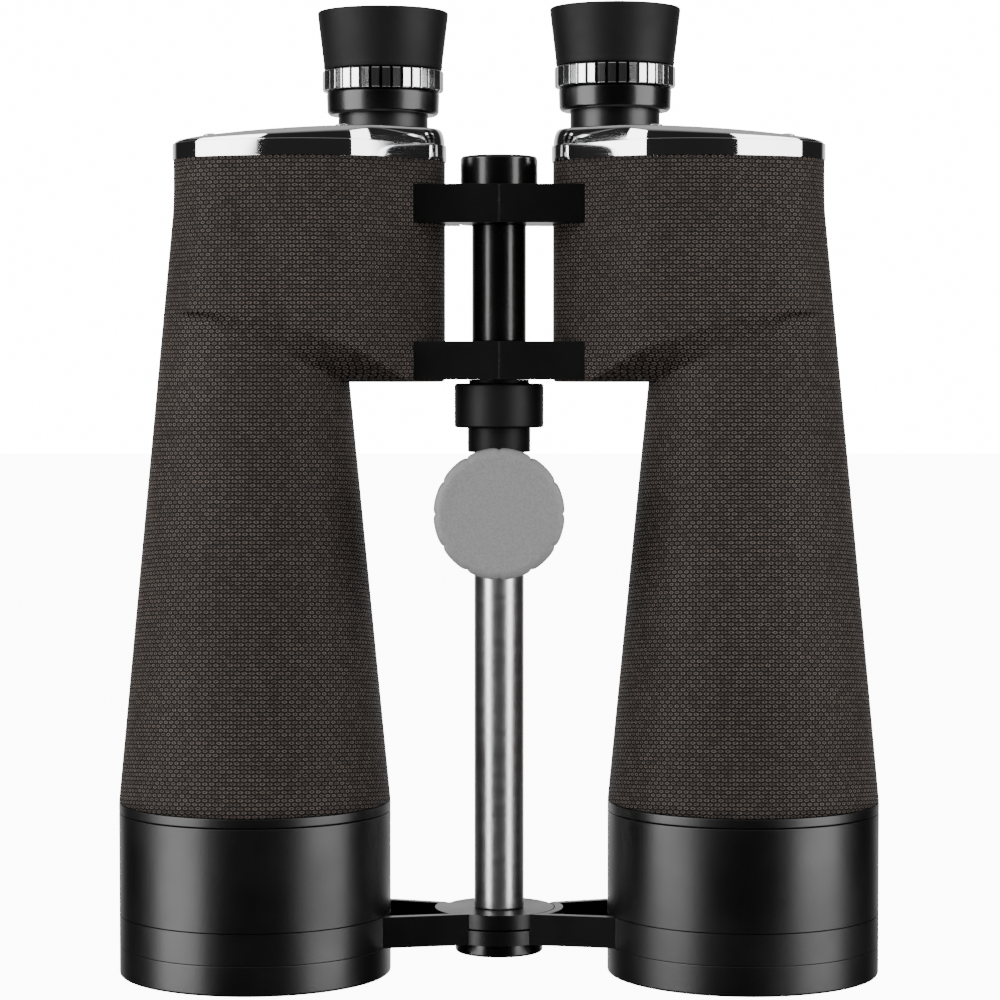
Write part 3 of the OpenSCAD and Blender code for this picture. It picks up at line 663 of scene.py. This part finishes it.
def front_ring(name):
    z0, z1 = heights("left_front_ring")
    return turned(name, [
        (barrel_r - 1.9, z0, 0.5), (barrel_r, z0, 0.9), (barrel_r, z1 - 0.05, 0.35),
        (bore_r - 2.6, z1 - 0.05, 0.3), (bore_r - 1.9, z1 - 2.4, 0.2),
        (bore_r - 1.6, z1 - 2.6, 0.2),
        (bore_r - 1.1, z1 - 4.6, 0.2), (bore_r - 0.8, z1 - 4.8, 0.2)], lobe, sides=160)


def objective_barrel(name):
    z0, z1 = heights("left_objective_barrel")
    return turned(name, [
        (bore_r, z0, 0.1), (barrel_r - BRACE_SEAT, z0, 0.1),
        (barrel_r - BRACE_SEAT, brace_top + 0.05, 0), (barrel_r, brace_top + 0.05, 0.35),
        (barrel_r, z1 - 0.05, 0.35), (bore_r, z1 - 0.05, 0.1)],
        lobe, sides=160)


def thin_tube_ring(name):
    z0, z1 = heights("left_tube_ring")
    return turned(name, tube(barrel_r, bore_r, z0 + 0.05, z1, 0.45), lobe, sides=160)


both("front_ring", front_ring, satin_black, "barrel")
both("objective_barrel", objective_barrel, satin_black, "barrel")
both("tube_ring", thin_tube_ring, satin_black, "barrel")
print("barrels done")


# %% [markdown]
# ## Covering
# The skin starts as a plain cylinder with many rings. Each of its points is then moved out to
# the body's surface: the wider of the objective cone and the prism housing. Under the housing's
# front a slanted band joins the two, widest near the hinge and fading out over the lobe. A
# smooth maximum rounds the creases, as a stretched skin does. Solidify gives the inner wall.

# %% Shape of the body under the skin
EDGE = 1.4
BAND_START, BAND_END = -58.0, 75.0
BAND_RISE = 22.0
CONE_DROP = 13.2
CREASE = 0.4
cone_top = deck_z - CONE_DROP
cone_slope = (barrel_r - lobe_r) / (cone_top - cover_low)


def smooth_max(a, b, soft):
    """The larger of two numbers, with a soft change from one to the other."""
    h = min(1.0, max(0.0, 0.5 + 0.5 * (a - b) / soft))
    return b + (a - b) * h + soft * h * (1 - h)


def ease(value, start, end):
    """0 at start, 1 at end, with a soft ramp between."""
    t = min(1.0, max(0.0, (value - start) / (end - start)))
    return t * t * (3 - 2 * t)


def cone_radius(z):
    """The straight taper of the tube, eased into the upright wall near the deck."""
    return smooth_max(barrel_r - (z - cover_low) * cone_slope, lobe_r, 0.6)


def band_top_z(turn):
    """Upper crease of the slanted band under the front. turn counts from straight forward."""
    share = min(1.0, max(0.0, (BAND_END - turn) / 92.0))
    return housing_z + BAND_RISE * math.sin(share * math.pi / 2) ** 0.8


def band_foot_z(turn):
    """Lower crease, where the band meets the tube."""
    share = min(1.0, max(0.0, (69.0 - turn) / 98.0))
    return housing_z + (BAND_RISE - 1.0) * share ** 1.3


def body_radius(angle, z, plan, with_housing):
    """Distance from the objective axis to the skin. plan is the housing's own, at that angle."""
    cone = cone_radius(z)
    if not with_housing:
        return cone
    turn = math.degrees(angle) + 90.0
    turn = (turn + 180.0) % 360.0 - 180.0
    proud = 2.9 * ease(turn, BAND_START, -28.0) * ease(z, 258.0, 214.0)
    wall = smooth_max(plan, cone + proud, 0.8) if BAND_START < turn < BAND_END else plan
    top, foot = band_top_z(turn), band_foot_z(turn)
    if BAND_START < turn < BAND_END and top - foot > 0.2:
        share = min(1.0, max(0.0, (z - foot) / (top - foot)))
        share = share - 0.10 * (ease(share, 0.0, 0.12) - ease(share, 0.88, 1.0)) * (1 - share)
        wall = cone - 0.3 + (wall - cone + 0.3) * share
    rise = z - housing_z
    if rise < EDGE:
        wall -= EDGE - math.sqrt(max(0.0, EDGE ** 2 - (EDGE - rise) ** 2))
    return smooth_max(wall, cone, CREASE)


def ring_heights():
    """(height, whether the housing is there yet) for each ring of the skin, bottom to top."""
    rings = [(cover_low + 0.05, False), (cover_low + 0.35, False)]
    steps = 46
    for i in range(1, steps):
        rings.append((cover_low + (housing_z - cover_low) * i / steps, False))
    rings.append((housing_z, False))
    rings += [(housing_z + rise, True) for rise in (0.0, 0.15, 0.45, 0.9)]
    rings += [(housing_z + EDGE + 0.5 * i, True) for i in range(46)]
    last = rings[-1][0]
    rings += [(last + (deck_z - last) * i / 24, True) for i in range(1, 25)]
    return rings


# %% Model the skin
SKIN_SIDES = 300
SKIN_WALL = 0.7
TUCK = 0.4
SAG_FADE = 60


def skin(name):
    """The covering's outside, with its UV map."""
    rings = ring_heights()
    piece = ring_stack(name, lobe, barrel_r, SKIN_SIDES, len(rings))
    plan_points = outline(0)
    plans = {}
    flat = {}
    for vertex in piece.data.vertices:
        ring = round(vertex.co.z)
        angle = math.atan2(vertex.co.y - lobe[1] * MM, vertex.co.x - lobe[0] * MM)
        key = round(angle * SKIN_SIDES / (2 * math.pi))
        if key not in plans:
            plans[key] = reach(plan_points, lobe, angle)
        z, with_housing = rings[ring]
        r = body_radius(angle, z, plans[key], with_housing)
        if ring == 0:
            r -= TUCK
        vertex.co = ((lobe[0] + r * math.cos(angle)) * MM, (lobe[1] + r * math.sin(angle)) * MM,
                     z * MM)
        flat[vertex.index] = (ring, key, r)
    lay_out_grain(piece, flat, rings)
    return piece


def lay_out_grain(piece, flat, rings):
    """UV in metres: along each ring from the front, and up the slope, as a wrapped sheet lies."""
    front_key = -SKIN_SIDES // 4
    radii = {(ring, key): r for ring, key, r in flat.values()}
    distance = {}
    half = SKIN_SIDES // 2
    for ring in range(len(rings)):
        for way in (1, -1):
            total, x0, y0 = 0.0, None, None
            for step in range(half + 2):
                key = front_key + way * step
                wrapped = (key + half) % SKIN_SIDES - half
                if wrapped == -half and (ring, wrapped) not in radii:
                    wrapped = half
                angle = 2 * math.pi * wrapped / SKIN_SIDES
                r = radii.get((ring, wrapped), radii.get((ring, -wrapped), 0.0))
                x, y = r * math.cos(angle), r * math.sin(angle)
                if x0 is not None:
                    total += math.hypot(x - x0, y - y0)
                distance[(ring, way * step)] = total * way
                x0, y0 = x, y
    slant = math.hypot(1, cone_slope)
    piece.data.uv_layers.new(name="grain")
    for extra in [u for u in piece.data.uv_layers if u.name != "grain"]:
        piece.data.uv_layers.remove(extra)
    layer = piece.data.uv_layers["grain"]
    for polygon in piece.data.polygons:
        centre = polygon.center
        middle_angle = math.atan2(centre.y - lobe[1] * MM, centre.x - lobe[0] * MM)
        middle_step = (middle_angle - front_key * 2 * math.pi / SKIN_SIDES)
        middle_step = (middle_step + math.pi) % (2 * math.pi) - math.pi
        for loop in polygon.loop_indices:
            ring, key, r = flat[piece.data.loops[loop].vertex_index]
            step = (key - front_key + half) % SKIN_SIDES - half
            if step == -half and middle_step > 0:
                step = half
            u = distance[(ring, step)]
            z = rings[ring][0]
            turn = math.radians(360 * step / SKIN_SIDES)
            sag = r * turn * turn * cone_slope / slant / 2 if z < housing_z else 0.0
            fade = min(1.0, max(0.0, (housing_z - z) / SAG_FADE))
            layer.data[loop].uv = (u * MM, (z + sag * fade) * MM)


left_skin = skin("shown_left_covering")
right_skin = mirrored(left_skin, "shown_right_covering")
for piece, side in ((left_skin, "left"), (right_skin, "right")):
    settle(piece, leather, side + "_barrel", side + "_covering", smooth=60,
           weighted=False)
    give_wall(piece, SKIN_WALL)
print("covering done:", len(left_skin.data.polygons), "faces a side")


# %% [markdown]
# ## Cover plates
# A chromed pressing closes each housing: an upright band all round, a small step, a rounded
# shoulder, and a shallow dome that rises to the eyepiece. It is a lathe-like piece on a plan that
# isn't round, so rings of one cylinder are moved to the outline.

# %% Model the cover plate
PLATE_SIDES = 288
PLATE_WALL = 0.9
BAND_H = 5.3
NECK_R = 14.5
DOME_DROP = 0.00107
STEP = 0.55
SHOULDER = 1.9
band_top = deck_z + BAND_H
plate_top = high("left_cover_plate")[2]


def dome_height(x, y):
    """Height of the plate's shallow dome, which falls away from the eyepiece."""
    return plate_top - DOME_DROP * ((x - eye[0]) ** 2 + (y - eye[1]) ** 2)


def plate_point(angle, edge, stage, share):
    """One point of the plate: stage says which stretch of its section, share how far along."""
    dx, dy = math.cos(angle), math.sin(angle)
    inner = edge - STEP - SHOULDER
    if stage == "band":
        cut, z = share
        r = edge - cut
    elif stage == "shoulder":
        turn = share * math.pi / 2
        r = edge - STEP - SHOULDER * (1 - math.cos(turn))
        top = dome_height(eye[0] + inner * dx, eye[1] + inner * dy)
        z = band_top + (top - band_top) * math.sin(turn)
    else:
        r = inner + (NECK_R + 0.1 - inner) * share
        z = dome_height(eye[0] + r * dx, eye[1] + r * dy)
    return (eye[0] + r * dx) * MM, (eye[1] + r * dy) * MM, z * MM


PLATE_RINGS = (
    [("band", v) for v in ((3.0, deck_z + 0.06), (0.3, deck_z + 0.06), (0.08, deck_z + 0.14),
                           (0.0, deck_z + 0.36), (0.0, band_top - 0.3), (0.06, band_top - 0.1),
                           (0.25, band_top), (0.5, band_top))]
    + [("shoulder", i / 12) for i in range(13)]
    + [("dome", i / 14) for i in range(1, 15)])


def cover_plate(name):
    piece = ring_stack(name, eye, NECK_R, PLATE_SIDES, len(PLATE_RINGS))
    points = outline(-PROUD)
    edges = {}
    for vertex in piece.data.vertices:
        angle = math.atan2(vertex.co.y - eye[1] * MM, vertex.co.x - eye[0] * MM)
        key = round(angle * PLATE_SIDES / (2 * math.pi))
        if key not in edges:
            edges[key] = reach(points, eye, angle)
        stage, share = PLATE_RINGS[round(vertex.co.z)]
        vertex.co = plate_point(angle, edges[key], stage, share)
    return piece


left_plate = cover_plate("shown_left_cover_plate")
right_plate = mirrored(left_plate, "shown_right_cover_plate")
for piece, side in ((left_plate, "left"), (right_plate, "right")):
    settle(piece, chrome, side + "_barrel", side + "_cover_plate", smooth=35)
    give_wall(piece, PLATE_WALL)
print("cover plates done")


# %% [markdown]
# ## Plate screws
# Four domed, slotted screws hold each plate. The CAD keeps their shanks. Here each head is a
# small turned dome with a slot cut across it, standing a little above the plate.

# %% Model the screw heads
SCREW_INSET = 5.6
HEAD_R = 2.4
HEAD_PROUD = 0.55
SLOT = (8, 0.6, 1.3)
back_turn = tangent(lobe, lobe_r, eye, eye_end_r, False)
screw_spots = [(lobe, lobe_r, -38), (lobe, lobe_r, -105), (lobe, lobe_r, back_turn - 3),
               (corner_centre, corner_r, 21)]


def screw_head(name, spot, slot_turn):
    top = dome_height(*spot) + HEAD_PROUD
    head = turned(name, [(0.01, top - 3, 0), (HEAD_R, top - 3, 0), (HEAD_R, top - 0.45, 0.4),
                         (1.2, top, 1.0), (0.01, top, 0)], spot, sides=48)
    bpy.ops.mesh.primitive_cube_add(
        size=1, location=(spot[0] * MM, spot[1] * MM, top * MM), rotation=(0, 0, slot_turn))
    cutter = bpy.context.object
    cutter.scale = [size * MM for size in SLOT]
    only(head)
    cut = head.modifiers.new("slot", "BOOLEAN")
    cut.object = cutter
    cut.solver = "EXACT"
    bpy.ops.object.modifier_apply(modifier="slot")
    bpy.data.objects.remove(cutter, do_unlink=True)
    return head


def plate_screws(name):
    """The four heads of the left plate, as one piece. Each slot stops at its own angle."""
    heads = []
    for i, (centre, r, turn) in enumerate(screw_spots):
        direction = towards(turn)
        spot = tuple(centre[k] + (r - SCREW_INSET) * direction[k] for k in (0, 1))
        heads.append(screw_head(name + str(i), spot, 0.6 + 0.9 * i))
    bpy.ops.object.select_all(action="DESELECT")
    for head in heads:
        head.select_set(True)
    bpy.context.view_layer.objects.active = heads[0]
    bpy.ops.object.join()
    heads[0].name = name
    return heads[0]


left_screws = plate_screws("shown_left_screw_heads")
right_screws = mirrored(left_screws, "shown_right_screw_heads")
settle(left_screws, chrome, "left_barrel", smooth=50)
settle(right_screws, chrome, "right_barrel", smooth=50)
print("screw heads:", 2 * len(screw_spots))


# %% [markdown]
# ## Eyepieces
# From the plate up: the threaded neck, the black focusing ring, the fluted chrome grip and the
# rubber eyecup, which flares a little and has a soft rolled lip.

# %% Turned eyepiece parts
NECK_BORE_R = 12.6
FLANGE_R = 16.7
FLANGE_H = 3


def eyepiece_neck(name):
    z0, z1 = heights("left_eyepiece_neck")
    return turned(name, [
        (NECK_BORE_R, z0, 0.1), (FLANGE_R, z0, 0.1), (FLANGE_R, z0 + FLANGE_H, 0.1),
        (NECK_R, z0 + FLANGE_H, 0.1), (NECK_R, z1, 0.2), (NECK_BORE_R, z1, 0.2)], eye, sides=96)


def focus_ring(name):
    z0, z1 = heights("left_focus_ring")
    return turned(name, [
        (NECK_R + 0.08, z0, 0.1), (17.2, z0, 0.3), (18.05, z0 + 0.9, 0.4), (18.25, z1 - 0.9, 0.3),
        (18.05, z1 - 0.1, 0.2), (NECK_R + 0.08, z1 - 0.1, 0.1)], eye, sides=160)


def eyecup(name):
    z0, z1 = heights("left_eyecup")
    foot, lip = 19.2, 21.15
    return turned(name, [
        (12.7, z0 + 0.1, 0.2), (foot - 0.2, z0 + 0.1, 0.5), (foot + 0.05, z0 + 1.3, 0.4),
        (foot, z0 + 2.2, 0.4), (lip - 0.3, z1 - 3.2, 1.5), (lip, z1 - 0.4, 0.8),
        (lip - 0.6, z1, 0.7), (lip - 1.7, z1 - 0.3, 0.7), (lip - 2.2, z1 - 4.0, 1.0),
        (foot - 2.7, z0 + 4.2, 0.8), (foot - 3.4, z0 + 3.1, 0.5), (12.7, z0 + 3.1, 0.2)],
        eye, sides=160, steps=4)


both("eyepiece_neck", eyepiece_neck, satin_black, "barrel")
both("focus_ring", focus_ring, gloss_black, "eyepiece")
both("eyecup", eyecup, eyecup_rubber, "eyepiece")
print("necks, focus rings and eyecups done")


# %% The fluted grip ring
FLATS = 36
grip_r = radius("left_grip_ring")
FLUTE_DEPTH = 0.7
POINTS_PER_FLAT = 12
FLAT_SHARE = 0.4


def grip_ring(name):
    """A turned ring whose rim is pressed into flats with a narrow groove between them."""
    z0, z1 = heights("left_grip_ring")
    h = z1 - z0
    piece = turned(name, [
        (NECK_R + 0.08, z0 + 0.1, 0.1), (grip_r - 0.5, z0 + 0.1, 0.2), (grip_r, z0 + 0.45, 0.15),
        (grip_r, z0 + 0.8, 0.05), (grip_r, z0 + 1.05, 0.05), (grip_r, z0 + h / 2, 0.05),
        (grip_r, z1 - 1.05, 0.05), (grip_r, z1 - 0.8, 0.05), (grip_r, z1 - 0.45, 0.15),
        (grip_r - 0.5, z1 - 0.05, 0.2), (NECK_R + 0.08, z1 - 0.05, 0.1)],
        eye, sides=FLATS * POINTS_PER_FLAT, steps=2)
    pitch = 2 * math.pi / FLATS
    only(piece)
    bpy.ops.object.transform_apply(location=True)
    for vertex in piece.data.vertices:
        x, y = vertex.co.x / MM - eye[0], vertex.co.y / MM - eye[1]
        r, angle = math.hypot(x, y), math.atan2(y, x)
        if r < grip_r - FLUTE_DEPTH:
            continue
        off = abs((angle / pitch) % 1.0 - 0.5)
        flat_r = r * math.cos(pitch / 2) / math.cos(off * pitch)
        wanted = min(r, grip_r - FLUTE_DEPTH) if off > FLAT_SHARE else flat_r
        vertex.co.x = (eye[0] + wanted * math.cos(angle)) * MM
        vertex.co.y = (eye[1] + wanted * math.sin(angle)) * MM
    return piece


both("grip_ring", grip_ring, fluted_chrome, "eyepiece")
print("eyepieces done")


# %% [markdown]
# ## Centre column
# The cap, hinge tube, collar, sleeve, steel column and hub nut are all turned about the hinge.

# %% Turned column parts
AXLE_R = 6.0
AXLE_BORE_R = 6.05
SLEEVE_R, SLEEVE_H = 10.2, 8.0
NECK_STEP_R, NECK_STEP_H = 9.8, 1.2


def column(node, corners, material):
    """A part turned about the hinge, in place of its CAD node."""
    return settle(turned("shown_" + node, corners, hinge), material, "spine", node)


z0, z1 = heights("hinge_cap")
cap_r = radius("hinge_cap")
column("hinge_cap", [(0.01, z0, 0), (cap_r, z0, 0.3), (cap_r, z1, 1.3), (cap_r - 4, z1, 0.3),
                     (cap_r - 4.4, z1 - 0.3, 0.2), (0.01, z1 - 0.3, 0)], gloss_black)
z0, z1 = heights("hinge_tube")
column("hinge_tube", tube(radius("hinge_tube"), AXLE_BORE_R, z0, z1, 0.3), gloss_black)
z0, z1 = heights("center_rod")
rod_r = radius("center_rod")
column("center_rod", [(0.01, z0, 0), (AXLE_R, z0, 0.5), (AXLE_R, brace_top + 0.1, 0.1),
                      (rod_r, brace_top + 0.1, 0.5), (rod_r, z1, 0.3), (0.01, z1, 0)],
       column_steel)
z0, z1 = heights("rod_socket")
collar_r = radius("rod_socket")
column("rod_socket", [
    (rod_r + 0.05, z0, 0.1), (SLEEVE_R, z0, 0.5), (SLEEVE_R, z0 + SLEEVE_H, 0.3),
    (collar_r, z0 + SLEEVE_H, 0.9), (collar_r, z1 - NECK_STEP_H, 0.9),
    (NECK_STEP_R, z1 - NECK_STEP_H, 0.2), (NECK_STEP_R, z1, 0.1), (rod_r + 0.05, z1, 0.1)],
    grey_enamel)
z0, z1 = heights("hub_nut")
nut_r = radius("hub_nut")
column("hub_nut", [(AXLE_BORE_R, z0 + 0.2, 0.1), (nut_r - 3, z0 + 0.2, 0.2), (nut_r - 3.5, z0, 0.1),
                   (nut_r, z0, 0.8), (nut_r, z1, 0.4), (AXLE_BORE_R, z1, 0.1)],
       gloss_black)
print("column done")


# %% [markdown]
# ## Milled and cast parts
# The lugs, the brace arms and the clamp are flat-sided, so their exact CAD shape is copied, its
# loose triangles are joined back into faces, and a Bevel modifier breaks every sharp edge.

# %% Copies with broken edges
BREAK_ANGLE = 35.0


def broken_edges(node, material, body, width, segments=2):
    """A copy of a CAD node whose sharp edges are bevelled by width, in millimetres."""
    only(nodes[node])
    bpy.ops.object.duplicate()
    piece = bpy.context.object
    piece.name = "shown_" + node
    piece.data.name = piece.name
    for _ in range(len(piece.material_slots)):
        bpy.ops.object.material_slot_remove()
    bpy.ops.object.mode_set(mode="EDIT")
    bpy.ops.mesh.select_all(action="SELECT")
    bpy.ops.mesh.remove_doubles(threshold=0.000002)
    bpy.ops.mesh.dissolve_limited(angle_limit=math.radians(1.0))
    bpy.ops.object.mode_set(mode="OBJECT")
    bevel = piece.modifiers.new("broken_edges", "BEVEL")
    bevel.width = width * MM
    bevel.segments = segments
    bevel.limit_method = "ANGLE"
    bevel.angle_limit = math.radians(BREAK_ANGLE)
    bevel.use_clamp_overlap = True
    bpy.ops.object.modifier_apply(modifier="broken_edges")
    settle(piece, material, body, node, smooth=30)
    return piece


for side in SIDES:
    broken_edges(side + "_prism_housing", satin_black, side + "_barrel", 0.5)
    broken_edges(side + "_brace_arm", satin_black, side + "_barrel", 0.35)
broken_edges("adapter_block", satin_black, "tripod_adapter", 1.0, segments=3)
broken_edges("adapter_bush", anodised, "bush", 0.3)
broken_edges("tripod_post", satin_black, "tripod_adapter", 0.6, segments=3)
print("milled parts done")


# %% [markdown]
# ## Clamp knob
# The grey knob is a moulded disc with shallow finger scallops round its rim. It is turned about
# its own axis and its rim points are drawn in where a finger rests.

# %% Model the knob
knob_mid = (middle("clamp_knob", 0), middle("clamp_knob", 2))
knob_face, knob_back = low("clamp_knob")[1], high("clamp_knob")[1]
knob_r = radius("clamp_knob")
KNOB_T = 9.0
LOBES = 12
SCALLOP_DEPTH = 0.6
SCALLOP_REACH = 4.0


def knob():
    piece = turned("shown_clamp_knob", [
        (0.01, 0.35, 0), (knob_r - 5.0, 0.2, 1.0), (knob_r - 2.2, 0.0, 1.0), (knob_r, 1.3, 1.2),
        (knob_r, KNOB_T - 1.2, 1.0), (knob_r - 1.5, KNOB_T, 0.8), (9.5, KNOB_T, 1.0),
        (8.8, KNOB_T + 0.9, 0.6), (7.5, knob_back - knob_face, 0.6),
        (0.01, knob_back - knob_face, 0)],
        (0, 0), sides=LOBES * 24, steps=4)
    only(piece)
    bpy.ops.object.transform_apply(location=True)
    for vertex in piece.data.vertices:
        r, angle = math.hypot(vertex.co.x, vertex.co.y), math.atan2(vertex.co.y, vertex.co.x)
        weight = min(1.0, max(0.0, (r / MM - knob_r + SCALLOP_REACH) / SCALLOP_REACH))
        away = abs((angle * LOBES / (2 * math.pi)) % 1.0 - 0.5) * 2
        r -= SCALLOP_DEPTH * MM * away ** 7 * weight
        vertex.co.x, vertex.co.y = r * math.cos(angle), r * math.sin(angle)
    piece.rotation_euler = (math.radians(-90), 0, 0)
    piece.location = (knob_mid[0] * MM, knob_face * MM, knob_mid[1] * MM)
    return settle(piece, knob_grey, "knob", "clamp_knob")


knob()
print("knob done")


# %% [markdown]
# ## Finishes for the pieces that stay as they are
# The optics, cells, screws and washers keep their exact CAD shape and only get a finish.

# %% Finishes of the kept CAD nodes
paired = {
    "objective_tube": satin_black, "objective_cell": anodised, "lens_retainer": anodised,
    "objective_lens": coated_glass, "prism_shelf": casting, "upper_prism": prism_glass,
    "lower_prism": prism_glass, "prism_clips": plain_steel, "plate_screws": chrome,
    "lens_cell": anodised, "field_lens": coated_glass, "eye_lens": coated_glass}
single = {
    "hinge_axle": plain_steel, "hinge_washers": brass, "clamp_screw": plain_steel,
    "clamp_shoe": brass}
for side in SIDES:
    single.update({side + "_" + name: finish for name, finish in paired.items()})
for name, node in nodes.items():
    node.data.materials.clear()
    node.data.materials.append(single.get(name, satin_black))
print("finishes set on", len(nodes), "nodes")


# %% [markdown]
# ## Studio surroundings
# The camera sees plain white paper. Reflections see a dim room with the paper straight behind
# the glass, so the two soft boxes draw the shapes and level faces catch the paper.

# %% World
PAPER = 16.0
ROOM_FRONT = 0.02
ROOM_BACK = 1.4
ROOM_TOP = 0.5
world = bpy.data.worlds.new("studio")
bpy.context.scene.world = world
world.use_nodes = True
studio = Nodes(world.node_tree)
background = studio.tree.nodes["Background"]
_, back, up = studio.parts(studio.node("ShaderNodeTexCoord", output="Generated"))
room = back.step(0.72, 0.98, ROOM_FRONT, ROOM_BACK) + up.step(0.45, 0.7, 0.0, ROOM_TOP)
paper = studio.node("ShaderNodeLightPath", output="Is Camera Ray") * PAPER
studio.tree.links.new(paper.math("MAXIMUM", room).socket, background.inputs["Strength"])
background.inputs["Color"].default_value = (1, 1, 1, 1)
print("world set")
